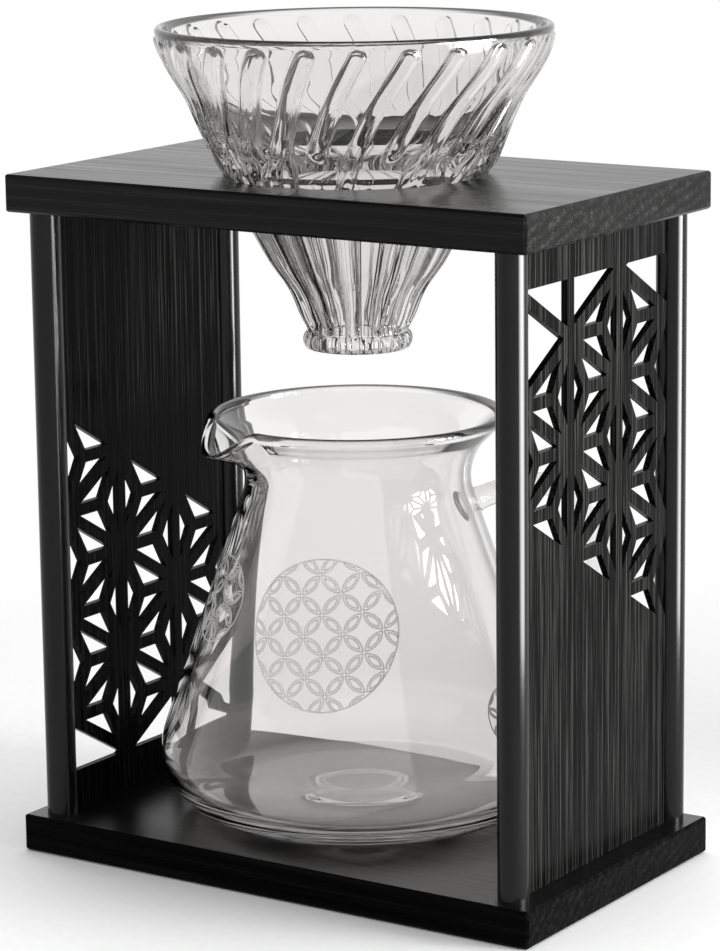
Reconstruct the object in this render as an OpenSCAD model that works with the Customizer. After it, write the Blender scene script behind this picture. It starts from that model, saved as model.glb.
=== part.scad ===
// Pour-over stand: two boards on four round posts, two lattice side panels,
// a fluted glass dripper in the top board and a glass server on the base.
// Millimetres. +X is the right side, +Y the rear, +Z up.
// The origin is the centre of the base board's underside.

/* [Boards] */
// Width of both boards
board_w = 176; // [172:1:210]
// Depth of both boards
board_d = 104; // [100:1:130]
// Thickness of both boards
board_t = 11; // [10:0.5:16]
// Height of the top board's upper face
stand_h = 204; // [200:1:240]
// Chamfer along every edge of the boards
board_chamfer = 0.8; // [0.4:0.1:2]

/* [Posts] */
// Diameter of the posts
post_d = 9; // [8:0.5:11]
// From a post's axis to the side edge of the boards
post_inset_x = 9; // [7:0.5:11]
// From a post's axis to the front or rear edge of the boards
post_inset_y = 7.5; // [6.5:0.5:10]

/* [Panels] */
// Thickness of a lattice panel
panel_t = 2; // [1.6:0.1:4]
// Depth of the grooves that hold a panel's upper and lower edges
groove_depth = 3; // [2:0.5:5]
// Space between a panel and its grooves and posts
panel_gap = 0.1; // [0.05:0.05:0.3]
// Side of the triangles that the lattice is drawn on
lattice_cell = 31.5; // [28:0.5:36]
// Width of the lattice strips
lattice_strip = 3.7; // [2.5:0.1:5]
// Solid strip between a board and the lattice
lattice_margin = 11.7; // [9:0.1:16]
// From a board to the first star centre on the panel's edge
lattice_first = 28; // [25:0.5:32]
// Rows of stars along the panel's edge
lattice_rows = 4; // [2:1:4]

/* [Fasteners] */
// Nominal diameter of screws and studs
screw_d = 4; // [3:0.5:5]
// Diameter of the countersunk screw heads
screw_head_d = 7.6; // [6:0.2:9]
// Length of thread inside each end of a post
thread_depth = 10; // [8:1:16]
// Outer diameter of the inserts in the top board
insert_d = 6; // [5.6:0.2:7]
// Length of the inserts in the top board
insert_len = 7; // [5:0.5:8]
// Radial space between a fastener and its hole
screw_gap = 0.05; // [0.03:0.01:0.1]

/* [Dripper] */
// Outer radius of the dripper where it sits in the top board
dripper_seat_r = 37.8; // [35:0.2:41]
// Radial space between the dripper and its hole
dripper_gap = 0.45; // [0.4:0.05:0.6]
// Height of the rim above the top board
rim_rise = 42.8; // [38:0.2:50]
// Outer radius of the rim
rim_r = 57.6; // [54:0.2:62]
// How far the wall rounds out just above the top board
seat_swell = 1; // [0.4:0.1:1.4]
// Height of that rounding
seat_swell_h = 4; // [3:0.5:6]
// How far the wall swells out below the rim
bulge = 2.25; // [0.5:0.25:3]
// Where the swelling starts above the top board
bulge_low = 20; // [16:1:24]
// Height in which the swelling would rise and fall back
bulge_span = 29; // [26:1:36]
// Depth of the outlet's lower edge below the top board's upper face
outlet_drop = 50.8; // [46:0.2:56]
// Outer radius of the outlet's neck
outlet_r = 14.5; // [13:0.1:17]
// Length of the outlet's neck, with its bead ring
outlet_len = 8; // [7:0.5:12]
// Height of the bead ring
bead_h = 5; // [3:0.5:6]
// How far the bead ring stands out from the neck
bead_rise = 1.4; // [0.6:0.1:2]
// Depth of the scallops in the bead ring
bead_scallop = 0.9; // [0.3:0.1:1.2]
// Glass thickness at the rim
rim_wall = 2.6; // [2.2:0.1:4]
// Glass thickness, measured level, at the shoulder below the rim
shoulder_wall = 3.5; // [3:0.1:5]
// Height of that shoulder above the top board
shoulder_z = 35; // [33:0.5:36]
// Glass thickness, measured level, above the thick seat
knee_wall = 5.2; // [4:0.1:6]
// Height of that place above the top board
knee_z = 12; // [10:0.5:16]
// Greatest glass thickness, measured level, by the seat
seat_wall = 10.5; // [6:0.5:12]
// Height of the thickest place above the top board
seat_wall_z = 4.5; // [3:0.5:8]
// Glass thickness of the outlet
outlet_wall = 3.2; // [2.6:0.1:4]
// Number of spiral flutes, every second one short
flutes = 24; // [16:2:24]
// From the rim down to the flutes' round upper ends
flute_start = 2.4; // [2:0.2:6]
// How far a flute stands out from the outer face above the top board
flute_out = 0.5; // [0.2:0.1:1]
// How far a flute stands out from the cone below the top board
low_flute_out = 1.8; // [0.6:0.1:2]
// How far a flute stands out just above the outlet
end_flute_out = 1.2; // [0.4:0.1:1.6]
// How far a flute stands in from the inner face
flute_in = 1.1; // [0.4:0.1:1.6]
// Angle of the first long flute at the top board, from the right side
flute_first = -2.3; // [-15:0.1:15]
// Turn of a flute from the top board up to its round end
flute_turn = 23; // [0:0.5:40]
// How much the turn gathers towards the rim: 1 is steady
flute_curl = 1.05; // [1:0.05:2.5]
// Where the short flutes end above the top board
short_flute_end = 9; // [5:0.5:16]

/* [Server] */
// Place of the server's axis to the right of the base's centre
server_x = -7.25; // [-12:0.25:12]
// Place of the server's axis behind the base's centre
server_y = 10; // [-12:0.5:12]
// Radius of the ring that the server stands on
foot_r = 41; // [38:0.5:45]
// Radius of the round between foot and body
foot_round = 19; // [12:0.5:20]
// Outer radius of the neck
neck_r = 33.6; // [30:0.2:38]
// Height of the neck's narrowest place above the foot
neck_z = 101; // [94:0.5:108]
// Radius of the hollow curve round the neck
neck_round = 17; // [12:0.5:19]
// Slope of the mouth's flare from upright
flare_angle = 43; // [30:1:48]
// Height of the rim above the neck
mouth_rise = 19.4; // [16:0.2:22]
// Glass thickness of the server
server_wall = 2.4; // [2:0.1:3.5]
// Glass thickness of the server's floor
server_floor = 5.2; // [3:0.1:7]
// Radius of the round between floor and wall inside
inner_round = 14; // [8:0.5:15]
// Direction of the spout, seen from above, from the right side
spout_dir = 236; // [180:0.5:300]
// How far the spout's tip reaches past the rim
spout_reach = 4; // [2:0.5:10]
// How far the spout's tip dips below the rim
spout_dip = 9; // [4:0.5:11]
// Half the angle that the spout takes from the rim
spout_half = 25; // [18:1:40]
// How pointed the spout is: 1 is round
spout_point = 1.5; // [1:0.1:3]
// How late the spout leaves the neck: 1 is a straight slope
spout_lift = 1.5; // [1:0.1:3]
// Thickness of the bead round the rim
lip_d = 3; // [2.6:0.1:4]
// Radius of the raised middle of the floor
punt_r = 16.5; // [10:0.5:24]
// Height of the raised middle of the floor
punt_rise = 1.3; // [0.6:0.1:2]
// Space under the foot
foot_gap = 0.2; // [0.1:0.05:0.4]

/* [Handle] */
// Diameter of the handle's glass rod
handle_d = 7; // [6:0.2:9]
// Height of the upper joint above the foot
handle_top = 89.5; // [82:0.5:90]
// Height of the lower joint above the foot
handle_low = 41; // [34:0.5:50]
// How strongly the rod swings out from the upper joint
handle_swing_top = 56; // [45:1:70]
// How strongly the rod swings out from the lower joint
handle_swing_low = 44; // [35:1:60]
// How far the rod's ends melt into the glass
handle_melt = 1; // [0.6:0.1:1.4]

/* [Hidden] */
$fn = 72;
// How far a cutter runs past the face that it opens
over = 1;

WOOD = "#242220";
PANEL = "#2a2827";
STEEL = "#161617";
ZINC = "#a8a9a6";
BRASS = "#b99b56";
GLASS = [0.88, 0.9, 0.9, 0.45];

// Posts
post_x = board_w / 2 - post_inset_x;
post_y = board_d / 2 - post_inset_y;
post_len = stand_h - 2 * board_t;
post_low = board_t;
post_high = stand_h - board_t;
post_places = [for (sx = [-1, 1], sy = [-1, 1]) [sx * post_x, sy * post_y]];

// Panels, drawn flat: u runs in from the panel's open edge, v up from the base board
panel_w = 2 * (post_y - post_d / 2 - panel_gap);
panel_tuck = groove_depth - panel_gap;
column_step = lattice_cell * sqrt(3) / 2;
lattice_columns = ceil((panel_w - lattice_strip) / column_step);
lattice_top = post_len - lattice_margin;
edge_star_v = post_len - lattice_first;
lattice_low = edge_star_v - (lattice_rows - 1) * lattice_cell;
half_strip = lattice_strip / 2;

// Fasteners
end_room = 0.5;
thread_r = screw_d / 2 + screw_gap;
head_r = screw_head_d / 2 + screw_gap;
head_sink = 0.3;
head_h = (screw_head_d - screw_d) / 2;
stud_len = thread_depth + insert_len - end_room;

// Dripper
hole_r = dripper_seat_r + dripper_gap;
flute_shape = [1, 0.5, 0, 0, 0.5];
columns_per_flute = len(flute_shape);
dripper_columns = flutes * columns_per_flute;
cone_low = outlet_len - outlet_drop;
cone_slope = (dripper_seat_r - outlet_r) / -cone_low;
upper_slope = (rim_r - bulge * pow(sin(180 * (rim_rise - bulge_low) / bulge_span), 2)
    - seat_swell - dripper_seat_r) / rim_rise;
flute_top = rim_rise - flute_start;
flute_fade = 4.5;
rim_half = rim_wall / 2;
inner_line = [
    [-outlet_drop, outlet_r - outlet_wall],
    [cone_low, outlet_r - outlet_wall],
    [seat_wall_z, dripper_radius(seat_wall_z) - seat_wall],
    [knee_z, dripper_radius(knee_z) - knee_wall],
    [shoulder_z, dripper_radius(shoulder_z) - shoulder_wall],
    [rim_rise, rim_r - rim_wall]
];

// Server
foot_z = board_t + foot_gap;
foot_centre = [foot_r, foot_round];
neck_centre = [neck_r + neck_round, neck_z];
to_neck = neck_centre - foot_centre;
body_slope = atan2(to_neck[1], to_neck[0]) - acos((foot_round + neck_round) / norm(to_neck));
inner_z = server_floor + inner_round;
inner_centre = [server_side_r(inner_z) - (server_wall + inner_round) / cos(body_slope), inner_z];
mouth_z = neck_z + mouth_rise;
lip_r = lip_d / 2;
// How far the rim's bead curls past level on both sides
lip_under = 20;
punt_edge = 2.2;
handle_dir = spout_dir + 180;
server_sides = 56;
gather = 28;
rod_sides = 12;
rod_rings = 24;

function turn(a) = [cos(a), sin(a)];
function arc(centre, radius, from, to, steps) =
    [for (i = [0 : steps]) centre + radius * turn(from + (to - from) * i / steps)];
function smooth(x) = let (t = min(1, max(0, x))) t * t * (3 - 2 * t);

// Triangles of the lattice
function column_u(j) = j * column_step;
function star_v(j, k) = edge_star_v - lattice_cell * (k + (j % 2) / 2);
function triangle(edge, tip, v) = [
    [column_u(edge), v + lattice_cell / 2],
    [column_u(edge), v - lattice_cell / 2],
    [column_u(tip), v]
];
function sides(t) = [norm(t[1] - t[2]), norm(t[2] - t[0]), norm(t[0] - t[1])];
function area(t) = abs(cross(t[1] - t[0], t[2] - t[0])) / 2;
function shrink(t) =
    let (s = sides(t), around = s[0] + s[1] + s[2])
    let (middle = (s[0] * t[0] + s[1] * t[1] + s[2] * t[2]) / around)
    let (keep = 1 - half_strip * around / (2 * area(t)))
    [for (p = t) middle + keep * (p - middle)];

module chamfered_plate(w, d, t, c) {
    module outline(a, b) {
        polygon([
            [-a / 2 + c, -b / 2], [a / 2 - c, -b / 2], [a / 2, -b / 2 + c], [a / 2, b / 2 - c],
            [a / 2 - c, b / 2], [-a / 2 + c, b / 2], [-a / 2, b / 2 - c], [-a / 2, -b / 2 + c]
        ]);
    }
    intersection() {
        linear_extrude(t) outline(w, d);
        translate([0, d / 2, t / 2]) rotate([90, 0, 0]) linear_extrude(d) outline(w, t);
        translate([-w / 2, 0, t / 2]) rotate([90, 0, 90]) linear_extrude(w) outline(d, t);
    }
}

// Slots for both panels, cut upwards from z = 0
module panel_grooves() {
    slot_w = panel_t + 2 * panel_gap;
    slot_l = panel_w + 2 * panel_gap;
    for (sx = [-1, 1])
        translate([sx * post_x - slot_w / 2, -slot_l / 2, 0]) cube([slot_w, slot_l, groove_depth + over]);
}

module base_board() {
    color(WOOD) difference() {
        chamfered_plate(board_w, board_d, board_t, board_chamfer);
        translate([0, 0, board_t - groove_depth]) panel_grooves();
        for (p = post_places) translate([p[0], p[1], -over]) {
            cylinder(r = thread_r, h = board_t + 2 * over);
            cylinder(r = head_r, h = head_sink + over);
            translate([0, 0, head_sink + over]) cylinder(r1 = head_r, r2 = thread_r, h = head_h);
        }
    }
}

module top_board() {
    color(WOOD) translate([0, 0, post_high]) difference() {
        chamfered_plate(board_w, board_d, board_t, board_chamfer);
        translate([0, 0, -over]) panel_grooves();
        translate([0, 0, -over]) cylinder(r = hole_r, h = board_t + 2 * over, $fn = 144);
        for (p = post_places) translate([p[0], p[1], -over])
            cylinder(r = insert_d / 2 + screw_gap, h = insert_len + end_room + over);
    }
}

// A round post with a threaded hole in each end
module post(sx, sy) {
    hole_len = thread_depth + end_room;
    color(STEEL) translate([sx * post_x, sy * post_y, post_low]) difference() {
        cylinder(d = post_d, h = post_len);
        translate([0, 0, -over]) cylinder(r = thread_r, h = hole_len + over);
        translate([0, 0, post_len - hole_len]) cylinder(r = thread_r, h = hole_len + over);
    }
}

// A cell beside the panel's edge, open to that edge
module open_cell(tip_u, edge_u, slope, v) {
    rise = slope * abs(edge_u - tip_u);
    polygon([[tip_u, v], [edge_u, v + rise], [edge_u, v - rise]]);
}

// The cut-outs in one triangle: three round its centre, or one when it is left whole
module triangle_cells(edge, tip, v, whole) {
    inward = sign(tip - edge);
    on_edge = edge == 0 || edge == lattice_columns;
    past_u = edge == 0 ? -over : max(panel_w, column_u(edge)) + over;
    corners = triangle(edge, tip, v);
    centre = [column_u(edge) + inward * column_step / 3, v];
    if (whole && on_edge)
        open_cell(column_u(tip) - inward * half_strip / sin(30), past_u, tan(30), v);
    else if (whole)
        polygon(shrink(corners));
    else {
        polygon(shrink([corners[0], corners[2], centre]));
        polygon(shrink([corners[1], corners[2], centre]));
        if (on_edge)
            open_cell(centre[0] - inward * half_strip / sin(60), past_u, tan(60), v);
        else
            polygon(shrink([corners[0], corners[1], centre]));
    }
}

// All triangles between the solid strip and the slanting lower border of the lattice
module lattice_cells() {
    far_edge = lattice_columns;
    for (j = [0 : lattice_columns - 1], left = [true, false], k = [-1 : 2 * lattice_rows]) {
        edge = left ? j : j + 1;
        tip = left ? j + 1 : j;
        v = star_v(edge, k) - lattice_cell / 2;
        middle_u = column_u(edge) + sign(tip - edge) * column_step / 3;
        border_v = lattice_low + middle_u * tan(30);
        crosses_top = v + lattice_cell / 2 > lattice_top;
        first_at_far_edge = edge == far_edge && abs(v - edge_star_v) < half_strip;
        if (v > border_v && v - lattice_cell / 2 < lattice_top)
            triangle_cells(edge, tip, v, crosses_top || first_at_far_edge);
    }
}

module panel_sheet() {
    linear_extrude(panel_t, center = true) difference() {
        translate([0, -panel_tuck]) square([panel_w, post_len + 2 * panel_tuck]);
        intersection() {
            lattice_cells();
            translate([-over, 0]) square([panel_w + column_step + 2 * over, lattice_top]);
        }
    }
}

module right_lattice_panel() {
    color(PANEL) translate([post_x, panel_w / 2, post_low]) rotate([90, 0, -90]) panel_sheet();
}

// The same sheet, turned over so that its lattice is in the lower half
module left_lattice_panel() {
    color(PANEL) translate([-post_x, -panel_w / 2, post_high]) rotate([-90, 0, 90]) panel_sheet();
}

module base_screws() {
    color(ZINC) for (p = post_places) translate([p[0], p[1], head_sink]) {
        cylinder(d1 = screw_head_d, d2 = screw_d, h = head_h);
        cylinder(d = screw_d, h = board_t + thread_depth - head_sink);
    }
}

module top_studs() {
    color(ZINC) for (p = post_places)
        translate([p[0], p[1], post_high - thread_depth]) cylinder(d = screw_d, h = stud_len);
}

module top_inserts() {
    color(BRASS) for (p = post_places) translate([p[0], p[1], post_high]) difference() {
        cylinder(d = insert_d, h = insert_len);
        translate([0, 0, -over]) cylinder(r = thread_r, h = insert_len + 2 * over);
    }
}

// Skin through rings of points; a loop of rings closes on itself, a chain gets two flat ends
module ring_solid(rings, loop) {
    count = len(rings);
    around = len(rings[0]);
    last = loop ? count - 1 : count - 2;
    skin = [
        for (r = [0 : last], c = [0 : around - 1])
            let (a = r * around, b = ((r + 1) % count) * around, d = (c + 1) % around)
            each [[a + c, b + c, b + d], [a + c, b + d, a + d]]
    ];
    ends = loop ? [] : [
        [for (c = [0 : around - 1]) c],
        [for (c = [around - 1 : -1 : 0]) (count - 1) * around + c]
    ];
    polyhedron([for (ring = rings) each ring], concat(skin, ends));
}

// How strongly a flute shows at height z above the top board
function flute_strength(z, long) =
    let (low = long ? cone_low - flute_fade : short_flute_end - flute_fade / 2)
    smooth((flute_top - z) / flute_fade) * smooth((z - low) / flute_fade);

// One ring of the dripper: radius, height, how far its flutes stand out, and depth of the scallops
function dripper_ring(r, z, relief, scallop) = [
    for (i = [0 : dripper_columns - 1])
        let (flute = floor(i / columns_per_flute), shape = flute_shape[i % columns_per_flute])
        let (twist = flute_turn * pow(max(0, z) / flute_top, flute_curl))
        let (grown = r + shape * (relief * flute_strength(z, flute % 2 == 0) - scallop))
        let (a = flute_first + 360 * i / dripper_columns + twist)
        [grown * cos(a), grown * sin(a), z]
];

// Outer radius of the dripper, before its flutes, at height z above the top board
function dripper_radius(z) =
    let (swell = z > bulge_low ? bulge * pow(sin(180 * (z - bulge_low) / bulge_span), 2) : 0)
    let (rounding = seat_swell * (1 - pow(max(0, 1 - z / seat_swell_h), 2)))
    z < 0 ? dripper_seat_r + cone_slope * z : dripper_seat_r + upper_slope * z + rounding + swell;

// Flutes leave the seat itself plain, so that it fits its hole
function flute_out_at(z) =
    let (below = low_flute_out + (end_flute_out - low_flute_out) * z / cone_low)
    smooth(abs(z) / seat_swell_h) * (z > 0 ? flute_out : below);

module dripper() {
    low_steps = 2;
    knee_steps = 2;
    high_steps = 4;
    heights = concat(
        [for (i = [0 : low_steps - 1]) cone_low * (1 - i / low_steps)],
        [-seat_swell_h, 0, seat_wall_z / 2, seat_wall_z],
        [for (i = [1 : knee_steps]) seat_wall_z + (knee_z - seat_wall_z) * i / knee_steps],
        [for (i = [1 : high_steps]) knee_z + (shoulder_z - knee_z) * i / high_steps],
        [(shoulder_z + flute_top) / 2, flute_top, rim_rise - rim_half]
    );
    top = len(heights) - 1;
    beads = [
        for (a = [-90 : 45 : 90])
            let (z = -outlet_drop + bead_h / 2 * (1 + sin(a)))
            dripper_ring(outlet_r + bead_rise * cos(a), z, 0, bead_scallop * cos(a))
    ];
    outside = [for (z = heights) dripper_ring(dripper_radius(z), z, flute_out_at(z), 0)];
    rim = [dripper_ring(rim_r - rim_half, rim_rise, 0, 0)];
    inside = [
        for (i = [top : -1 : 0])
            dripper_ring(lookup(heights[i], inner_line), heights[i], -flute_in, 0)
    ];
    outlet = [dripper_ring(outlet_r - outlet_wall, -outlet_drop, 0, 0)];
    color(GLASS) translate([0, 0, stand_h]) ring_solid(concat(beads, outside, rim, inside, outlet), true);
}

// Half section of the server's wall, set in from the outer face, with a heel of its own
function server_wall_line(in, heel_centre, heel_round) = concat(
    arc(heel_centre, heel_round, -90, body_slope, 8),
    arc(neck_centre, neck_round + in, 180 + body_slope, 180 - flare_angle, 7)
);

// Radius of the outer face at height z on the straight side
function server_side_r(z) =
    foot_r + foot_round / cos(body_slope) - (z - foot_round) * tan(body_slope);

// Bell shape round the spout: 1 at its middle and 0 at its sides
function spout_bell(a) =
    let (off = abs((a - spout_dir + 540) % 360 - 180))
    off < spout_half ? pow(cos(90 * off / spout_half), spout_point) : 0;

// One ring through a point of the half section, with its corners gathered round the spout
function server_ring(p) = [
    for (i = [0 : server_sides - 1])
        let (even = 360 * i / server_sides, a = spout_dir + even - gather * sin(even))
        let (share = spout_bell(a) * pow(max(0, (p[1] - neck_z) / mouth_rise), spout_lift))
        let (r = p[0] + spout_reach * share, z = p[1] - spout_dip * share)
        [r * cos(a), r * sin(a), z]
];

module server() {
    outer = server_wall_line(0, foot_centre, foot_round);
    inner = server_wall_line(server_wall, inner_centre, inner_round);
    flare_end = outer[len(outer) - 1];
    rim_out = flare_end[0] + (mouth_z - lip_r - flare_end[1]) * tan(flare_angle);
    lip = arc([rim_out - server_wall / 2, mouth_z - lip_r], lip_r, -lip_under, 180 + lip_under, 6);
    foot = [
        [punt_r, punt_rise],
        [punt_r + punt_edge, punt_rise / 3],
        [foot_r - punt_edge, 0]
    ];
    floor_line = [
        [punt_r + punt_edge, server_floor],
        [punt_r, server_floor + punt_rise * 2 / 3]
    ];
    section = concat(foot, outer, lip, [for (i = [len(inner) - 1 : -1 : 0]) inner[i]], floor_line);
    color(GLASS) translate([server_x, server_y, foot_z])
        ring_solid([for (p = section) server_ring(p)], false);
}

// The rod's line from the upper joint round to the lower joint, as distance from the axis and height
function handle_point(t) =
    let (out = turn(body_slope))
    let (a = [server_side_r(handle_top), handle_top] - handle_melt * out)
    let (d = [server_side_r(handle_low), handle_low] - handle_melt * out)
    let (b = a + handle_swing_top * out, c = d + handle_swing_low * out)
    pow(1 - t, 3) * a + 3 * t * pow(1 - t, 2) * b + 3 * t * t * (1 - t) * c + pow(t, 3) * d;

function handle_ring(t) =
    let (step = 0.001, p = handle_point(t))
    let (ahead = handle_point(min(1, t + step)) - handle_point(max(0, t - step)))
    let (along = ahead / norm(ahead), across = [-along[1], along[0]])
    [
        for (i = [0 : rod_sides - 1])
            let (s = handle_d / 2 * turn(360 * i / rod_sides), q = p + s[0] * across)
            [q[0], s[1], q[1]]
    ];

module server_handle() {
    color(GLASS) translate([server_x, server_y, foot_z]) rotate([0, 0, handle_dir])
        ring_solid([for (i = [0 : rod_rings]) handle_ring(i / rod_rings)], false);
}

base_board();
top_board();
post(-1, -1);  // front_left_post
post(1, -1);  // front_right_post
post(-1, 1);  // rear_left_post
post(1, 1);  // rear_right_post
left_lattice_panel();
right_lattice_panel();
base_screws();
top_studs();
top_inserts();
dripper();
server();
server_handle();
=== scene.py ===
"""Looks of the pour-over stand: stained wood, satin posts, fine glass, studio light and the camera."""
import itertools
import math

import bpy
import numpy as np
from mathutils import Matrix, Vector


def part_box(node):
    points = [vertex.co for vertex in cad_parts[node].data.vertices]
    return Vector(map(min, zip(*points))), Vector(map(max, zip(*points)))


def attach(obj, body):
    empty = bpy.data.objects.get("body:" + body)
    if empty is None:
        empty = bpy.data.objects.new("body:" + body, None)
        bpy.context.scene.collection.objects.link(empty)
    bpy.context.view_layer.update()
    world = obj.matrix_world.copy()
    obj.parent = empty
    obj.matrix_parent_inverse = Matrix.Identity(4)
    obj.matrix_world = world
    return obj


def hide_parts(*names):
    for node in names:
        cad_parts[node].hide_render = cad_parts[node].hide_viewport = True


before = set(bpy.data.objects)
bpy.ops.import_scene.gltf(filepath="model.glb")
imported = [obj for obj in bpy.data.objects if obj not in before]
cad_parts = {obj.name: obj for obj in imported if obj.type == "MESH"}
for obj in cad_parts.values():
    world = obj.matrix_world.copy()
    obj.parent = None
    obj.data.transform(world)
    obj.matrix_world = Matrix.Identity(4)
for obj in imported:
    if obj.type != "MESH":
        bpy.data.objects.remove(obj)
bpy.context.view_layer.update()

MM = 0.001

# Heights taken from the frame
TOP_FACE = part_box("top_board")[1].z
SERVER_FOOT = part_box("server")[0].z

# Outer form of the dripper, heights counted from the top board's upper face
SEAT_R = 37.8 * MM
SEAT_SWELL = 1.0 * MM
SEAT_SWELL_H = 4.0 * MM
BULGE = 2.25 * MM
BULGE_LOW = 20.0 * MM
BULGE_SPAN = 29.0 * MM
RIM_RISE = 42.8 * MM
RIM_R = 57.45 * MM
OUTLET_DROP = 50.8 * MM
OUTLET_R = 14.5 * MM
OUTLET_LEN = 8.0 * MM
NECK_DRAW = 1.1 * MM
NECK_SPAN = 18.0 * MM
BEAD_H = 5.0 * MM
BEAD_RISE = 1.4 * MM
BEAD_SCALLOP = 1.5 * MM
CONE_LOW = OUTLET_LEN - OUTLET_DROP
CONE_SLOPE = (SEAT_R - OUTLET_R) / -CONE_LOW

# Glass thickness of the dripper at some heights, and how far the corners between them are softened
RIM_WALL = 2.6 * MM
SHOULDER_Z = 35.0 * MM
SHOULDER_WALL = 3.5 * MM
KNEE_Z = 12.0 * MM
KNEE_WALL = 5.2 * MM
SEAT_WALL_Z = 4.5 * MM
SEAT_WALL = 10.5 * MM
OUTLET_WALL = 3.2 * MM
OUTLET_HOLE_R = OUTLET_R - OUTLET_WALL
OUTLET_EDGE_R = 1.0 * MM
INNER_SOFT = 2.5 * MM
SOFT_SAMPLES = 9

# Flutes of the dripper, every second one short
FLUTES = 24
FLUTE_PITCH = 2 * math.pi / FLUTES
FLUTE_FIRST = math.radians(-2.3)
FLUTE_TOP = RIM_RISE - 2.4 * MM
FLUTE_TURN = math.radians(23.0)
FLUTE_CURL = 1.05
FLUTE_OUT = 0.75 * MM
LOW_FLUTE_OUT = 2.2 * MM
END_FLUTE_OUT = 1.6 * MM
FLUTE_IN = 1.1 * MM
FLUTE_IN_FADE = 8.0 * MM
FLUTE_HALF_TOP = 2.7 * MM
FLUTE_HALF_SEAT = 2.2 * MM
FLUTE_HALF_CONE = 3.0 * MM
FLUTE_HALF_LOW = 1.8 * MM
FLUTE_FLAT = 0.4
HOLE_DEPTH = 11.0 * MM
SHORT_FLUTE_END = 9.0 * MM
LEAN_STEP = 0.2 * MM

# Mesh of the dripper: rings up its wall, columns across half a flute in half widths, and columns between
# flutes, which count as OFF_FLUTE half widths away
CONE_RINGS = 26
WALL_RINGS = 34
FLUTE_END_RINGS = 18
FLUTE_END_ZONE = 4.0 * MM
FLUTE_END_PAST = 0.2 * MM
PLAIN_START = FLUTE_TOP + 0.5 * MM
PLAIN_RINGS = 3
RIM_STEPS = 12
BEAD_RINGS = 15
NECK_RINGS = 7
BORE_RINGS = 6
OUTLET_EDGE_STEPS = 5
HALF_FLUTE_STEPS = (0.25, 0.48, 0.61, 0.74, 0.87, 1.0, 1.2)
FLUTE_STEPS = np.array([*(-s for s in reversed(HALF_FLUTE_STEPS)), 0.0, *HALF_FLUTE_STEPS])
GAP_COLUMNS = 6
GAP_STEPS = np.arange(1, GAP_COLUMNS + 1) / (GAP_COLUMNS + 1)
OFF_FLUTE = 2.0

# Server, heights counted from its foot
SERVER_X = -7.25 * MM
SERVER_Y = 10.0 * MM
FOOT_R = 41.0 * MM
FOOT_ROUND = 19.0 * MM
NECK_R = 33.6 * MM
NECK_Z = 101.0 * MM
NECK_ROUND = 17.0 * MM
FLARE = math.radians(43)
MOUTH_RISE = 19.4 * MM
MOUTH_Z = NECK_Z + MOUTH_RISE
SERVER_WALL = 2.4 * MM
FLOOR_WALL = 5.7 * MM
INNER_ROUND = 12.0 * MM
SPOUT_DIR = math.radians(236)
SPOUT_REACH = 4.0 * MM
SPOUT_DIP = 9.0 * MM
SPOUT_HALF = math.radians(25)
SPOUT_POINT = 1.5
SPOUT_LIFT = 1.5
SPOUT_GATHER = math.radians(28)
LIP_R = 1.5 * MM
LIP_SWEEP = math.radians(20)
PUNT_R = 16.5 * MM
PUNT_RISE = 1.3 * MM
PUNT_EDGE = 2.2 * MM

# Mesh of the server
SERVER_SIDES = 200
AXIS_R = 1.0 * MM
PUNT_FLAT_RINGS = 8
PUNT_EDGE_RINGS = 14
HEEL_STEPS = 30
SIDE_STEPS = 16
NECK_STEPS = 22
LIP_STEPS = 14
JOIN_STEPS = 6

# Handle of the server
HANDLE_R = 3.45 * MM
HANDLE_TOP = 89.5 * MM
HANDLE_LOW = 41.0 * MM
HANDLE_SWING_TOP = 56.0 * MM
HANDLE_SWING_LOW = 44.0 * MM
HANDLE_MELT = 1.0 * MM
HANDLE_FLANGE = 1.6 * MM
HANDLE_FLANGE_REACH = 2.6 * MM
HANDLE_DIR = SPOUT_DIR + math.pi
HANDLE_SIDES = 28
HANDLE_RINGS = 90

# Roundels of interlocking circles: each lens as its gap at both ends and its height over half its length
LINE_HALF = 0.22 * MM
DECAL_LIFT = 0.05 * MM
LENSES = ((0.05, 0.4), (0.2, 0.36))
LENS_STEPS = 16
RING_STEPS = 96

# Floor
FLOOR_SIZE = 6.0
FLOOR_DROP = 0.2 * MM
FLOOR_FADE_START = 0.17
FLOOR_FADE_END = 0.38


def smooth(x):
    t = np.clip(x, 0.0, 1.0)
    return t * t * (3 - 2 * t)


def arc(centre, radius, start, end, steps):
    """Points (r, z) on an arc, angles in radians."""
    angles = np.linspace(start, end, steps + 1)
    return [(centre[0] + radius * math.cos(a), centre[1] + radius * math.sin(a)) for a in angles]


def between(a, b, steps):
    """Points from a towards b, without the two ends."""
    a, b = np.array(a), np.array(b)
    return [tuple(a + (b - a) * t) for t in np.linspace(0, 1, steps + 2)[1:-1]]


def make_piece(name, points, faces, smooth_shading=True):
    mesh = bpy.data.meshes.new(name)
    mesh.from_pydata([tuple(p) for p in points], [], faces)
    mesh.validate()
    mesh.polygons.foreach_set("use_smooth", [smooth_shading] * len(mesh.polygons))
    mesh.update()
    piece = bpy.data.objects.new(name, mesh)
    bpy.context.scene.collection.objects.link(piece)
    return piece


def skin_faces(count, around, loop):
    """Quads between rings of points; the last ring joins the first in a loop."""
    faces = []
    for r in range(count if loop else count - 1):
        a = r * around
        b = (r + 1) % count * around
        faces += [(a + c, a + (c + 1) % around, b + (c + 1) % around, b + c) for c in range(around)]
    return faces


# Dripper


def bulge(z):
    """How far the wall swells out below the rim."""
    return BULGE * math.sin(math.pi * (z - BULGE_LOW) / BULGE_SPAN) ** 2 if z > BULGE_LOW else 0.0


UPPER_SLOPE = (RIM_R - bulge(RIM_RISE) - SEAT_SWELL - SEAT_R) / RIM_RISE
UPPER_LENGTH = math.hypot(1, UPPER_SLOPE)


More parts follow.
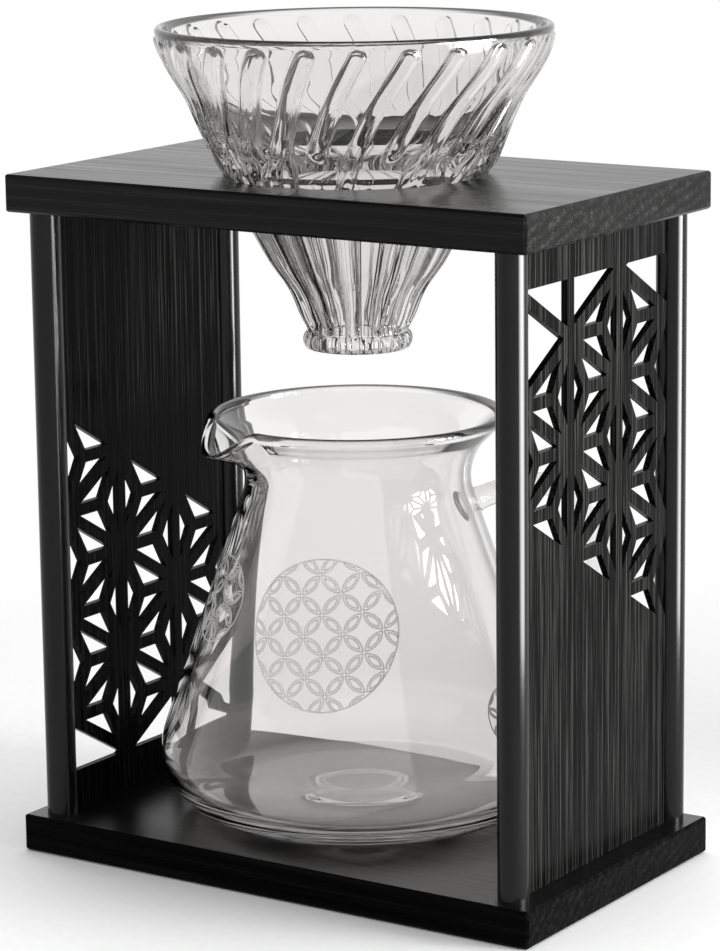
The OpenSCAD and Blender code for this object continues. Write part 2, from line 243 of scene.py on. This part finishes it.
def dripper_radius(z):
    """Outer radius between the flutes, on a cone that isn't drawn in."""
    if z < 0:
        return SEAT_R + CONE_SLOPE * z
    rounding = SEAT_SWELL * (1 - max(0.0, 1 - z / SEAT_SWELL_H) ** 2)
    return SEAT_R + UPPER_SLOPE * z + rounding + bulge(z)


def neck_draw(z):
    """How far the cone is drawn in where it bends into the upright outlet."""
    share = min(1.0, (z - CONE_LOW) / NECK_SPAN)
    return NECK_DRAW * math.sin(math.pi * share) ** 2


WALLS = (
    (CONE_LOW, OUTLET_WALL),
    (SEAT_WALL_Z, SEAT_WALL),
    (KNEE_Z, KNEE_WALL),
    (SHOULDER_Z, SHOULDER_WALL),
    (RIM_RISE, RIM_WALL),
)
INNER_HEIGHTS = np.array([z for z, _ in WALLS])
INNER_RADII = np.array([dripper_radius(z) - wall for z, wall in WALLS])


def inner_radius(z):
    """Inner radius between the ribs, softened at the corners; the wall is thickest by the seat."""
    spread = np.linspace(-1, 1, SOFT_SAMPLES) * INNER_SOFT
    return float(np.mean(np.interp(z + spread, INNER_HEIGHTS, INNER_RADII)))


def flute_twist(z):
    return FLUTE_TURN * (max(0.0, z) / FLUTE_TOP) ** FLUTE_CURL


def flute_lean(z, r):
    """Angle of a flute from the steepest line of the cone."""
    across = r * (flute_twist(z + LEAN_STEP) - flute_twist(z - LEAN_STEP))
    return math.atan2(across, 2 * LEAN_STEP * UPPER_LENGTH)


def flute_half(z):
    """Half the width of a flute at height z."""
    heights = (CONE_LOW, -HOLE_DEPTH, 0, FLUTE_TOP)
    halves = (FLUTE_HALF_LOW, FLUTE_HALF_CONE, FLUTE_HALF_SEAT, FLUTE_HALF_TOP)
    return float(np.interp(z, heights, halves))


def flute_out(z):
    """How far the flutes stand out; they leave the seat itself plain, so that it fits its hole."""
    below = LOW_FLUTE_OUT + (END_FLUTE_OUT - LOW_FLUTE_OUT) * z / CONE_LOW
    return float(smooth(abs(z) / SEAT_SWELL_H)) * (FLUTE_OUT if z > 0 else below)


def flute_in(z):
    """How far the flutes stand in from the inner face; they fade out above the outlet."""
    return FLUTE_IN * float(smooth((z - CONE_LOW) / FLUTE_IN_FADE))


def dripper_ring(r, z, relief, beads):
    """One ring of the dripper: radius, height, how far its flutes stand out, and the bead scallops."""
    lean = flute_lean(z, r)
    half = flute_half(z)
    half_angle = half / (r * math.cos(lean))
    edge = FLUTE_STEPS[-1] * half_angle
    offsets = np.concatenate([FLUTE_STEPS * half_angle, edge + GAP_STEPS * (FLUTE_PITCH - 2 * edge)])
    across = np.concatenate([FLUTE_STEPS, np.full(GAP_COLUMNS, OFF_FLUTE)])
    # How far each column lies past the round ends of the flutes, in half widths along them
    shift = across * math.tan(lean)
    unit = half * math.cos(lean)
    past_top = np.maximum(0, shift + ((z - FLUTE_TOP) * UPPER_LENGTH + half) / unit)
    past_low = np.maximum(0, -shift + ((SHORT_FLUTE_END - z) * UPPER_LENGTH + half) / unit)
    # Beads swell between the flutes' lines and pinch together on them
    from_line = np.minimum(np.abs(offsets), np.abs(FLUTE_PITCH - offsets)) / FLUTE_PITCH
    pinch = beads * (1 - np.sqrt(np.clip(1 - (1 - 2 * from_line) ** 2, 0, 1)))
    points = []
    for k in range(FLUTES):
        past = past_top if k % 2 == 0 else np.maximum(past_top, past_low)
        flute = 1 - smooth((np.hypot(across, past) - FLUTE_FLAT) / (1 - FLUTE_FLAT))
        radius = r + relief * flute - pinch
        angle = FLUTE_FIRST + k * FLUTE_PITCH + flute_twist(z) + offsets
        points.append(np.stack([radius * np.cos(angle), radius * np.sin(angle), np.full(len(angle), z)], 1))
    return np.concatenate(points)


def plain_rings(line):
    """Rings without flutes or beads through the points (r, z)."""
    return [(r, z, 0.0, 0.0) for r, z in line]


def bead_rings():
    """The outlet's lower edge and bead ring."""
    rings = []
    for a in np.linspace(-math.pi / 2, math.pi / 2, BEAD_RINGS):
        z = -OUTLET_DROP + BEAD_H / 2 * (1 + math.sin(a))
        rings.append((OUTLET_R + BEAD_RISE * math.cos(a), z, 0.0, BEAD_SCALLOP * math.cos(a)))
    return rings


def neck_rings():
    """The upright neck above the beads, where the flutes set in."""
    rings = []
    for t in np.linspace(0, 1, NECK_RINGS)[1:]:
        z = -OUTLET_DROP + BEAD_H + t * (OUTLET_LEN - BEAD_H)
        rings.append((OUTLET_R, z, END_FLUTE_OUT * t, 0.0))
    return rings


def rim_rings():
    """The plain wall above the flutes, and the round rim."""
    half = RIM_WALL / 2
    rim_z = RIM_RISE - half
    wall = [(dripper_radius(z), z) for z in np.linspace(PLAIN_START, rim_z, PLAIN_RINGS)[:-1]]
    return plain_rings(wall + arc((dripper_radius(rim_z) - half, rim_z), half, 0, math.pi, RIM_STEPS))


def bore_rings():
    """The outlet's bore and its round lower edge."""
    edge_z = -OUTLET_DROP + OUTLET_EDGE_R
    bore = [(OUTLET_HOLE_R, z) for z in np.linspace(CONE_LOW, edge_z, BORE_RINGS)]
    centre = (OUTLET_HOLE_R + OUTLET_EDGE_R, edge_z)
    return plain_rings(bore + arc(centre, OUTLET_EDGE_R, math.pi, 1.5 * math.pi, OUTLET_EDGE_STEPS)[1:])


def dripper_mesh():
    ends_low = FLUTE_TOP - FLUTE_END_ZONE
    low = np.linspace(CONE_LOW, 0, CONE_RINGS)[1:-1]
    middle = np.linspace(0, ends_low, WALL_RINGS)
    upper = np.linspace(ends_low, FLUTE_TOP + FLUTE_END_PAST, FLUTE_END_RINGS)[1:]
    heights = [*low, *middle, *upper]
    outside = [(dripper_radius(z) - neck_draw(z), z, flute_out(z), 0.0) for z in heights]
    # A rib lies behind each flute
    inside = [(inner_radius(z), z, -flute_in(z), 0.0) for z in reversed(heights)]
    rings = bead_rings() + neck_rings() + outside + rim_rings() + inside + bore_rings()
    points = np.concatenate([dripper_ring(*ring) for ring in rings])
    points[:, 2] += TOP_FACE
    return points, skin_faces(len(rings), FLUTES * (len(FLUTE_STEPS) + GAP_COLUMNS), True)


# Server


FOOT_CENTRE = (FOOT_R, FOOT_ROUND)
NECK_CENTRE = (NECK_R + NECK_ROUND, NECK_Z)
TO_NECK = (NECK_CENTRE[0] - FOOT_CENTRE[0], NECK_CENTRE[1] - FOOT_CENTRE[1])
TANGENT = math.acos((FOOT_ROUND + NECK_ROUND) / math.hypot(*TO_NECK))
BODY_SLOPE = math.atan2(TO_NECK[1], TO_NECK[0]) - TANGENT


def by_server(r, angle, z):
    """Point at radius r and height z about the server's axis."""
    return (SERVER_X + r * math.cos(angle), SERVER_Y + r * math.sin(angle), SERVER_FOOT + z)


def server_side_r(z):
    """Radius of the outer face at height z on the straight side."""
    return FOOT_R + FOOT_ROUND / math.cos(BODY_SLOPE) - (z - FOOT_ROUND) * math.tan(BODY_SLOPE)


def server_wall_line(inset, heel_centre, heel_round):
    """Half section of the wall from the heel to the end of the neck's hollow, set in from the outer face."""
    foot = arc(heel_centre, heel_round, -math.pi / 2, BODY_SLOPE, HEEL_STEPS)
    neck = arc(NECK_CENTRE, NECK_ROUND + inset, math.pi + BODY_SLOPE, math.pi - FLARE, NECK_STEPS)
    return foot + between(foot[-1], neck[0], SIDE_STEPS) + neck


def punt_line(base):
    """The floor from near the axis out over the raised middle, at height base outside it."""
    start = PUNT_R - PUNT_EDGE
    width = 2 * PUNT_EDGE
    flat = np.linspace(AXIS_R, start, PUNT_FLAT_RINGS)
    edge = np.linspace(start, start + width, PUNT_EDGE_RINGS)[1:]
    return [(r, base + PUNT_RISE * (1 - float(smooth((r - start) / width)))) for r in (*flat, *edge)]


def server_section():
    """Half section as points (r, z): under the floor, up the outside, over the lip and down the inside."""
    outer = server_wall_line(0.0, FOOT_CENTRE, FOOT_ROUND)
    inner_z = FLOOR_WALL + INNER_ROUND
    inner_r = server_side_r(inner_z) - (SERVER_WALL + INNER_ROUND) / math.cos(BODY_SLOPE)
    inner = server_wall_line(SERVER_WALL, (inner_r, inner_z), INNER_ROUND)
    flare_r, flare_z = outer[-1]
    lip_z = MOUTH_Z - LIP_R
    lip_r = flare_r + (lip_z - flare_z) * math.tan(FLARE) - SERVER_WALL / 2
    lip = arc((lip_r, lip_z), LIP_R, -LIP_SWEEP, math.pi + LIP_SWEEP, LIP_STEPS)
    lines = (punt_line(0.0), outer, lip, inner[::-1], punt_line(FLOOR_WALL)[::-1])
    section = list(lines[0])
    for last, line in itertools.pairwise(lines):
        section += between(last[-1], line[0], JOIN_STEPS) + line
    return section


def spout_share(angle, z):
    """How far a point belongs to the spout, from 0 to 1 at the mouth."""
    off = abs((angle - SPOUT_DIR + math.pi) % (2 * math.pi) - math.pi)
    bell = math.cos(math.pi / 2 * off / SPOUT_HALF) ** SPOUT_POINT if off < SPOUT_HALF else 0.0
    return bell * max(0.0, (z - NECK_Z) / MOUTH_RISE) ** SPOUT_LIFT


def server_mesh():
    section = server_section()
    # Columns gather towards the spout
    even = np.arange(SERVER_SIDES) * 2 * math.pi / SERVER_SIDES
    angles = SPOUT_DIR + even - SPOUT_GATHER * np.sin(even)
    points = []
    for (r, z), a in itertools.product(section, angles):
        share = spout_share(a, z)
        points.append(by_server(r + SPOUT_REACH * share, a, z - SPOUT_DIP * share))
    faces = skin_faces(len(section), SERVER_SIDES, False)
    # Close the two small rings by the axis
    bottom = len(points)
    top = bottom + 1
    points += [by_server(0.0, 0.0, section[0][1]), by_server(0.0, 0.0, section[-1][1])]
    last = (len(section) - 1) * SERVER_SIDES
    for c in range(SERVER_SIDES):
        after = (c + 1) % SERVER_SIDES
        faces += [(bottom, after, c), (top, last + c, last + after)]
    return points, faces


def handle_point(t):
    """The rod's line as distance from the server's axis and height, t from 0 at the upper joint to 1."""
    out = np.array([math.cos(BODY_SLOPE), math.sin(BODY_SLOPE)])
    a = np.array([server_side_r(HANDLE_TOP), HANDLE_TOP]) - HANDLE_MELT * out
    d = np.array([server_side_r(HANDLE_LOW), HANDLE_LOW]) - HANDLE_MELT * out
    b = a + HANDLE_SWING_TOP * out
    c = d + HANDLE_SWING_LOW * out
    return (1 - t) ** 3 * a + 3 * t * (1 - t) ** 2 * b + 3 * t * t * (1 - t) * c + t ** 3 * d


def handle_mesh():
    line = np.array([handle_point(t) for t in smooth(np.linspace(0, 1, HANDLE_RINGS))])
    length = np.concatenate([[0], np.cumsum(np.linalg.norm(np.diff(line, axis=0), axis=1))])
    out_x = math.cos(HANDLE_DIR)
    out_y = math.sin(HANDLE_DIR)
    points = []
    for i, p in enumerate(line):
        ahead = line[min(i + 1, HANDLE_RINGS - 1)] - line[max(i - 1, 0)]
        along = ahead / np.linalg.norm(ahead)
        across = np.array([-along[1], along[0]])
        from_end = min(length[i], length[-1] - length[i])
        radius = HANDLE_R + HANDLE_FLANGE * math.exp(-(from_end / HANDLE_FLANGE_REACH) ** 2)
        for k in range(HANDLE_SIDES):
            a = 2 * math.pi * k / HANDLE_SIDES
            r, z = p + radius * math.cos(a) * across
            side = radius * math.sin(a)
            points.append((SERVER_X + r * out_x - side * out_y, SERVER_Y + r * out_y + side * out_x,
                           SERVER_FOOT + z))
    faces = [face[::-1] for face in skin_faces(HANDLE_RINGS, HANDLE_SIDES, False)]
    faces.append(tuple(range(HANDLE_SIDES)))
    faces.append(tuple((HANDLE_RINGS - 1) * HANDLE_SIDES + k for k in reversed(range(HANDLE_SIDES))))
    return points, faces


# Roundels on the server


def on_server(polar, height, u, v):
    """Point on the server's side, u round it and v up it from the roundel's centre."""
    z = height + v * math.cos(BODY_SLOPE)
    r = server_side_r(z) + DECAL_LIFT
    return by_server(r, polar + u / r, z)


def lens(start, end, height):
    """Two arcs from start to end, as lists of points; height is over half the chord."""
    chord = end - start
    across = np.array([-chord[1], chord[0]]) / 2
    t = np.linspace(0, 1, LENS_STEPS + 1)
    rise = height * (1 - (2 * t - 1) ** 2)
    return [[start + chord * s + sign * h * across for s, h in zip(t, rise)] for sign in (1, -1)]


def roundel_lines(radius, cell, tilt):
    """Lines of the pattern: a ring, and a lens with a smaller one inside along every grid edge."""
    ring = np.linspace(0, 2 * math.pi, RING_STEPS + 1)
    lines = [[(radius * math.cos(a), radius * math.sin(a)) for a in ring]]
    turn = np.array([[math.cos(tilt), -math.sin(tilt)], [math.sin(tilt), math.cos(tilt)]])
    reach = int(radius / cell) + 2
    grid = range(-reach, reach)
    for i, j, step in itertools.product(grid, grid, ((1, 0), (0, 1))):
        start = np.array([i + 0.5, j + 0.5]) * cell
        edge = np.array(step) * cell
        for gap, height in LENSES:
            for line in lens(start + gap * edge, start + edge - gap * edge, height):
                turned = [turn @ p for p in line]
                inside = [p for p in turned if np.hypot(*p) < radius]
                if len(inside) > 2:
                    lines.append(inside)
    return lines


def roundel(name, polar, height, diameter, cell, tilt):
    points, faces = [], []
    for line in roundel_lines(diameter / 2, cell, tilt):
        line = np.array(line)
        ahead = np.gradient(line, axis=0)
        ahead /= np.linalg.norm(ahead, axis=1)[:, None]
        across = np.stack([-ahead[:, 1], ahead[:, 0]], 1) * LINE_HALF
        start = len(points)
        for p, w in zip(line, across):
            points.append(on_server(polar, height, *(p + w)))
            points.append(on_server(polar, height, *(p - w)))
        faces += [(a, a + 1, a + 3, a + 2) for a in range(start, len(points) - 2, 2)]
    piece = make_piece(name, points, faces)
    solidify = piece.modifiers.new("thickness", "SOLIDIFY")
    solidify.thickness = DECAL_LIFT
    solidify.offset = 0
    return piece


# Materials


def seen_rays(tree):
    """1 for rays seen straight, by gloss or through glass, and 0 for light that falls on matt surfaces."""
    path = tree.nodes.new("ShaderNodeLightPath")
    seen = path.outputs["Is Camera Ray"]
    for ray in ("Is Glossy Ray", "Is Transmission Ray"):
        either = tree.nodes.new("ShaderNodeMath")
        either.operation = "MAXIMUM"
        tree.links.new(seen, either.inputs[0])
        tree.links.new(path.outputs[ray], either.inputs[1])
        seen = either.outputs[0]
    return seen


class Shader:
    """A node material with short calls for the nodes used here."""

    def __init__(self, name):
        self.material = bpy.data.materials.new(name)
        self.material.use_nodes = True
        self.tree = self.material.node_tree
        self.surface = self.tree.nodes["Principled BSDF"]
        self.output = self.tree.nodes["Material Output"]

    def node(self, kind, inputs=None, **settings):
        node = self.tree.nodes.new("ShaderNode" + kind)
        for key, value in settings.items():
            setattr(node, key, value)
        for key, value in (inputs or {}).items():
            self.put(node.inputs[key], value)
        return node

    def put(self, socket, value):
        if isinstance(value, bpy.types.NodeSocket):
            self.tree.links.new(value, socket)
        else:
            socket.default_value = value

    def set(self, **inputs):
        for key, value in inputs.items():
            self.put(self.surface.inputs[key.replace("_", " ")], value)

    def place(self, scale=(1, 1, 1), location=(0, 0, 0)):
        """The object's own coordinates in metres, stretched and then moved."""
        where = self.node("TexCoord").outputs["Object"]
        mapping = self.node("Mapping", {"Vector": where, "Scale": scale, "Location": location})
        return mapping.outputs["Vector"]

    def noise(self, cells, detail, roughness=0.5):
        """Noise with so many cells per metre along X, Y and Z."""
        inputs = {"Vector": self.place(cells), "Scale": 1.0, "Detail": detail, "Roughness": roughness}
        return self.node("TexNoise", inputs).outputs["Fac"]

    def math(self, operation, a, b=0.0):
        return self.node("Math", {0: a, 1: b}, operation=operation).outputs[0]

    def blend(self, *shares):
        """Sum of values, each with its weight."""
        parts = [self.math("MULTIPLY", value, weight) for value, weight in shares]
        total = parts[0]
        for part in parts[1:]:
            total = self.math("ADD", total, part)
        return total

    def length(self, vector):
        return self.node("VectorMath", {0: vector}, operation="LENGTH").outputs["Value"]

    def z_of(self, vector):
        return self.node("SeparateXYZ", {"Vector": vector}).outputs["Z"]

    def remap(self, value, low, high, to_low, to_high):
        inputs = {"Value": value, "From Min": low, "From Max": high, "To Min": to_low, "To Max": to_high}
        return self.node("MapRange", inputs).outputs["Result"]

    def ramp(self, value, *stops):
        node = self.node("ValToRGB", {"Fac": value})
        ramp = node.color_ramp
        while len(ramp.elements) < len(stops):
            ramp.elements.new(0.5)
        for element, (position, colour) in zip(ramp.elements, stops):
            element.position = position
            element.color = (*colour, 1)
        return node.outputs["Color"]

    def bump(self, height, distance, strength):
        inputs = {"Height": height, "Distance": distance, "Strength": strength}
        return self.node("Bump", inputs).outputs["Normal"]


def grey(value, warm=0.0):
    return (value * (1 + warm), value, value * (1 - warm))


# Growth rings of the boards: their heart lies behind and below, and they are fine and faint
HEART_Y = 110.0 * MM
HEART_Z = -160.0 * MM
RING_RATE = 1900.0
RING_WOBBLE = 12.0 * MM
RING_SHARE = 0.05


def board_wood(name, painted_shade_scale, specular, roughness, wax):
    """Black-stained board with its grain along X, waxed on its upper face; its colour scaled down below 1 is
    painted shade.
    """
    s = Shader(name)
    from_heart = s.length(s.place((0, 1, 1), (0, -HEART_Y, -HEART_Z)))
    wobble = s.noise((2, 14, 14), detail=3.0)
    rings = s.math("SINE", s.blend((from_heart, RING_RATE), (wobble, RING_RATE * RING_WOBBLE)))
    fibres = s.noise((18, 1500, 1500), detail=3.0, roughness=0.6)
    streaks = s.noise((5, 420, 420), detail=4.0, roughness=0.65)
    grain = s.blend((fibres, 0.5), (streaks, 0.5))
    tone = s.blend((grain, 1.0), (rings, RING_SHARE))
    # The colours are scaled by the given factor; a factor below 1 darkens them as painted shade
    black = grey(0.0006 * painted_shade_scale)
    stain = grey(0.003 * painted_shade_scale, warm=0.03)
    light = grey(0.016 * painted_shade_scale, warm=0.04)
    s.set(Base_Color=s.ramp(tone, (0.36, black), (0.52, stain), (0.72, light)),
          Roughness=s.remap(grain, 0.36, 0.68, *roughness),
          Specular_IOR_Level=specular,
          Normal=s.bump(grain, distance=0.08 * MM, strength=0.4))
    facing_up = s.z_of(s.node("TexCoord").outputs["Normal"])
    s.set(Coat_Weight=s.remap(facing_up, 0.8, 0.95, 0.0, wax), Coat_Roughness=0.28, Coat_IOR=1.4)
    return s.material


def panel_wood():
    """Black-stained thin board with strong upright grain."""
    s = Shader("panel_wood")
    fibres = s.noise((1500, 1500, 9), detail=3.0, roughness=0.6)
    streaks = s.noise((500, 500, 3), detail=5.0, roughness=0.7)
    pores = s.noise((2600, 2600, 40), detail=2.0)
    grain = s.blend((pores, 0.3), (fibres, 0.45), (streaks, 0.25))
    black = grey(0.0003)
    stain = grey(0.002, warm=0.02)
    light = grey(0.02, warm=0.03)
    s.set(Base_Color=s.ramp(grain, (0.43, black), (0.51, stain), (0.60, light)),
          Roughness=s.remap(grain, 0.42, 0.60, 0.18, 0.36),
          Specular_IOR_Level=0.03,
          Normal=s.bump(grain, distance=0.12 * MM, strength=0.6))
    return s.material


def post_metal():
    """Satin black coat with a faint upright drawing and fine pores."""
    s = Shader("post_metal")
    pores = s.noise((2400, 2400, 2400), detail=2.0)
    drawn = s.noise((900, 900, 30), detail=3.0)
    s.set(Base_Color=s.ramp(drawn, (0.3, grey(0.002)), (0.7, grey(0.004))),
          Roughness=s.remap(pores, 0.3, 0.7, 0.13, 0.18),
          Specular_IOR_Level=0.22,
          Normal=s.bump(drawn, distance=0.004 * MM, strength=0.3))
    return s.material


def plated(name, colour, roughness):
    """Plain plated metal with fine turning marks."""
    s = Shader(name)
    marks = s.noise((500, 500, 6000), detail=3.0)
    shade = [0.75 * c for c in colour]
    s.set(Base_Color=s.ramp(marks, (0.3, shade), (0.7, colour)),
          Metallic=1.0,
          Roughness=s.remap(marks, 0.3, 0.7, roughness, roughness + 0.15),
          Normal=s.bump(marks, distance=0.03 * MM, strength=0.5))
    return s.material


# Glass; its colour darkens towards slanting edges as painted shade, and near the rim this painted shade sets
# in sooner than on the walls
GLASS_IOR = 1.49
GLASS_DEPTH_COLOUR = (0.35, 0.33, 0.32, 1)
PAINTED_RIM_SHADE = 0.55
PAINTED_RIM_SHADE_DEPTH = 2.2 * MM
PAINTED_RIM_SHADE_FULL = 1.2 * MM
WAVE = 0.03 * MM


def clear_glass(name, tint, density, wave_size, rim_z):
    """Clear glass, slightly uneven, darker along the light's path in it; painted shade darkens its colour
    towards its edges and rim.
    """
    s = Shader(name)
    waves = 1 / wave_size
    uneven = s.noise((waves, waves, waves), detail=2.0)
    # Painted shade: the colour turns from the glass's tint to near black where the glass is seen at a slant,
    # and sooner near the rim
    facing = s.node("LayerWeight", {"Blend": 0.5}).outputs["Facing"]
    painted_rim_shade_mask = s.remap(s.z_of(s.place()), rim_z - PAINTED_RIM_SHADE_DEPTH, rim_z - PAINTED_RIM_SHADE_FULL, 0.0, PAINTED_RIM_SHADE)
    edge = s.math("ADD", facing, painted_rim_shade_mask)
    s.set(Base_Color=s.ramp(edge, (0.66, tint), (0.78, grey(0.2)), (0.92, grey(0.02))),
          Transmission_Weight=1.0,
          IOR=GLASS_IOR,
          Roughness=0.0,
          Normal=s.bump(uneven, distance=WAVE, strength=1.0))
    depth = s.node("VolumeAbsorption", {"Color": GLASS_DEPTH_COLOUR, "Density": density})
    s.put(s.output.inputs["Volume"], depth.outputs[0])
    return s.material


def etched_lines():
    """Fine frosted lines, partly clear."""
    s = Shader("etched_lines")
    speck = s.noise((9000, 9000, 9000), detail=2.0)
    s.set(Base_Color=s.ramp(speck, (0.3, grey(0.80, warm=0.01)), (0.7, grey(0.88, warm=0.01))),
          Roughness=0.6,
          Specular_IOR_Level=0.2,
          Alpha=0.65)
    return s.material


def pale_floor():
    """White floor that keeps the object's shadow and fades into the white background."""
    s = Shader("pale_floor")
    speck = s.noise((300, 300, 300), detail=3.0)
    s.set(Base_Color=s.ramp(speck, (0.3, grey(0.90)), (0.7, grey(0.93))),
          Roughness=0.9,
          Specular_IOR_Level=0.0)
    far = s.remap(s.length(s.place()), FLOOR_FADE_START, FLOOR_FADE_END, 0.0, 1.0)
    white = s.node("Emission", {"Color": (1, 1, 1, 1), "Strength": 1.0})
    share = s.math("MULTIPLY", seen_rays(s.tree), far)
    mix = s.node("MixShader", {0: share, 1: s.surface.outputs[0], 2: white.outputs[0]})
    s.put(s.output.inputs["Surface"], mix.outputs[0])
    return s.material


def dress(node, material):
    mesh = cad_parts[node].data
    mesh.materials.clear()
    mesh.materials.append(material)


dress("top_board", board_wood("top_wood", painted_shade_scale=1.0, specular=0.13, roughness=(0.14, 0.34), wax=0.0))
# The base board is the top board's wood with its colour halved as painted shade
dress("base_board", board_wood("base_wood", painted_shade_scale=0.5, specular=0.02, roughness=(0.20, 0.40), wax=1.0))
PANEL = panel_wood()
for name in ("left_lattice_panel", "right_lattice_panel"):
    dress(name, PANEL)
COAT = post_metal()
for name in ("front_left_post", "front_right_post", "rear_left_post", "rear_right_post"):
    dress(name, COAT)
ZINC = plated("zinc_steel", colour=(0.62, 0.62, 0.6), roughness=0.3)
dress("base_screws", ZINC)
dress("top_studs", ZINC)
dress("top_inserts", plated("insert_brass", colour=(0.7, 0.55, 0.25), roughness=0.28))

# Glass pieces
PRESSED = clear_glass("pressed_glass", tint=(0.895, 0.885, 0.875), density=8.0, wave_size=12.0 * MM,
                      rim_z=TOP_FACE + RIM_RISE)
BLOWN = clear_glass("blown_glass", tint=(0.93, 0.915, 0.905), density=14.0, wave_size=30.0 * MM,
                    rim_z=SERVER_FOOT + MOUTH_Z)

dripper = make_piece("fluted_dripper", *dripper_mesh())
dripper.data.materials.append(PRESSED)
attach(dripper, "dripper")
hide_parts("dripper")

server = make_piece("server_jug", *server_mesh())
server.data.materials.append(BLOWN)
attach(server, "server")
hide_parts("server")

handle = make_piece("server_loop_handle", *handle_mesh())
handle.data.materials.append(BLOWN)
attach(handle, "server")
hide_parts("server_handle")

# Roundels: angle round the server in degrees, height, diameter, cell of the pattern and its tilt in degrees
ROUNDELS = (
    ("front_roundel", -70, 63.5 * MM, 44.0 * MM, 8.3 * MM, 51),
    ("left_roundel", -125, 68.0 * MM, 26.0 * MM, 8.3 * MM, 40),
    ("right_roundel", -4, 36.0 * MM, 19.0 * MM, 6.5 * MM, 45),
)
ETCHED = etched_lines()
for name, polar, height, diameter, cell, tilt in ROUNDELS:
    decal = roundel(name, math.radians(polar), height, diameter, cell, math.radians(tilt))
    decal.data.materials.append(ETCHED)
    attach(decal, "server")

# Floor
corners = [(x * FLOOR_SIZE, y * FLOOR_SIZE, -FLOOR_DROP) for x, y in ((-1, -1), (1, -1), (1, 1), (-1, 1))]
floor = make_piece("floor", corners, [(0, 1, 2, 3)], smooth_shading=False)
floor.data.materials.append(pale_floor())

# Light
scene = bpy.context.scene
scene.view_settings.view_transform = "Standard"


def area_light(name, place, target, width, height, power):
    data = bpy.data.lights.new(name, "AREA")
    data.shape = "RECTANGLE"
    data.size = width
    data.size_y = height
    data.energy = power
    lamp = bpy.data.objects.new(name, data)
    scene.collection.objects.link(lamp)
    lamp.location = place
    lamp.rotation_mode = "QUATERNION"
    lamp.rotation_quaternion = (Vector(target) - Vector(place)).to_track_quat("-Z", "Y")
    return lamp


right_soft = area_light("right_soft", place=(0.37, 0.035, 0.17), target=(0.08, -0.045, 0.17),
                        width=0.26, height=0.36, power=1.7)
right_soft.data.spread = math.radians(56)
right_soft.visible_camera = False
right_soft.visible_transmission = False
top_soft = area_light("top_soft", place=(-0.2, 0.3, 0.95), target=(0, 0, 0.1),
                      width=0.8, height=0.8, power=4.0)
top_soft.visible_transmission = False
top_soft.visible_glossy = False

# Surround: its light on matt surfaces, and where the white background turns dark high overhead, by the sine
# of the angle above the floor; the dark part gives gloss and glass their dark lines
SURROUND_LIGHT = 0.66
BACKGROUND = 1.0
CEILING = 0.12
CEILING_START = 0.55
CEILING_FULL = 0.85


def studio_world():
    world = bpy.data.worlds.new("studio")
    world.use_nodes = True
    scene.world = world
    tree = world.node_tree
    nodes, links = tree.nodes, tree.links
    plain = nodes["Background"]
    plain.inputs["Color"].default_value = (1, 1, 1, 1)
    plain.inputs["Strength"].default_value = SURROUND_LIGHT
    white = nodes.new("ShaderNodeBackground")
    white.inputs["Color"].default_value = (1, 1, 1, 1)
    direction = nodes.new("ShaderNodeSeparateXYZ")
    links.new(nodes.new("ShaderNodeTexCoord").outputs["Generated"], direction.inputs[0])
    fade = nodes.new("ShaderNodeMapRange")
    limits = {"From Min": CEILING_START, "From Max": CEILING_FULL, "To Min": BACKGROUND, "To Max": CEILING}
    for socket, value in limits.items():
        fade.inputs[socket].default_value = value
    links.new(direction.outputs["Z"], fade.inputs["Value"])
    links.new(fade.outputs["Result"], white.inputs["Strength"])
    mix = nodes.new("ShaderNodeMixShader")
    links.new(seen_rays(tree), mix.inputs[0])
    links.new(plain.outputs[0], mix.inputs[1])
    links.new(white.outputs[0], mix.inputs[2])
    links.new(mix.outputs[0], nodes["World Output"].inputs["Surface"])


studio_world()

# Light travels far inside the glass before it leaves
GLASS_BOUNCES = 40
GLOSS_BOUNCES = 12
scene.cycles.max_bounces = GLASS_BOUNCES
scene.cycles.transmission_bounces = GLASS_BOUNCES
scene.cycles.glossy_bounces = GLOSS_BOUNCES

# Camera at the photograph's place
CAMERA_PLACE = (0.58440, -0.88099, 0.33981)
CAMERA_AZIMUTH = math.radians(33.5529)
CAMERA_DROP = math.radians(12.0177)
CAMERA_ROLL = math.radians(0.6963)
FOCAL_PIXELS = 3690.31
IMAGE_HEIGHT = 951
SENSOR = 36.0

forward = Vector((-math.sin(CAMERA_AZIMUTH) * math.cos(CAMERA_DROP),
                  math.cos(CAMERA_AZIMUTH) * math.cos(CAMERA_DROP), -math.sin(CAMERA_DROP)))
level = forward.cross(Vector((0, 0, 1))).normalized()
down = forward.cross(level)
right = math.cos(CAMERA_ROLL) * level + math.sin(CAMERA_ROLL) * down
up = math.sin(CAMERA_ROLL) * level - math.cos(CAMERA_ROLL) * down
camera_data = bpy.data.cameras.new("camera")
camera_data.sensor_width = SENSOR
camera_data.lens = FOCAL_PIXELS / IMAGE_HEIGHT * SENSOR
camera = bpy.data.objects.new("camera", camera_data)
scene.collection.objects.link(camera)
camera.matrix_world = Matrix.Translation(CAMERA_PLACE) @ Matrix((right, up, -forward)).transposed().to_4x4()
scene.camera = camera
